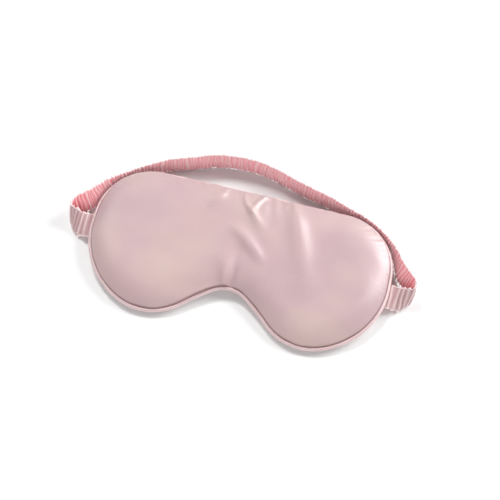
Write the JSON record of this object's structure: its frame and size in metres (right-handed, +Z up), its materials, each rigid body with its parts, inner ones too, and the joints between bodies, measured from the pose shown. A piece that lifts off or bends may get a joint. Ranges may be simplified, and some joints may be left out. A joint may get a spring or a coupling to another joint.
{
  "type": "sleep eye mask",
  "caption": "Padded satin sleep eye mask with piped edge, nose notch and ruched elastic head strap that swings and stretches.",
  "frame": {"origin": "centre of the whole mask's plan, on the surface that it rests on", "axes": "+X along the mask towards the right-hand side seam, +Y from the nose notch towards the upper rim, +Z up, out of the front panel"},
  "size_m": [0.2391, 0.126, 0.0178],
  "materials": {
    "satin_panel": "smooth dusty-pink satin",
    "satin_piping": "bias-cut satin over cord",
    "satin_strap": "ruched satin sleeve",
    "wadding": "polyester wadding",
    "lining": "dense matt blackout cloth",
    "cotton_cord": "twisted cotton cord",
    "elastic": "woven elastic",
    "thread": "spun polyester thread"
  },
  "bodies": {
    "mask": {"front_panel": "satin_panel", "back_panel": "satin_panel", "padding_front": "wadding", "padding_back": "wadding", "blackout_lining": "lining", "piping_cover": "satin_piping", "piping_cord": "cotton_cord", "seam_thread": "thread", "strap_end_left": "satin_strap", "strap_end_right": "satin_strap", "elastic_end_left": "elastic", "elastic_end_right": "elastic", "strap_tack_left": "thread", "strap_tack_right": "thread"},
    "strap": {"sleeve_left": "satin_strap", "sleeve_right": "satin_strap", "elastic_left": "elastic", "elastic_right": "elastic"},
    "strap_back": {"sleeve_back": "satin_strap", "elastic_back": "elastic"}
  },
  "joints": [
    {"name": "strap_swing", "type": "hinge", "parent": "mask", "child": "strap", "pos_m": [0, -0.01229, 0.0064], "axis": [1, 0, 0], "range_deg": [-90, 90]},
    {"name": "strap_stretch", "type": "slide", "parent": "strap", "child": "strap_back", "axis": [0, 1, 0], "range_m": [0, 0.05], "stiffness_N_per_m": 40}
  ]
}
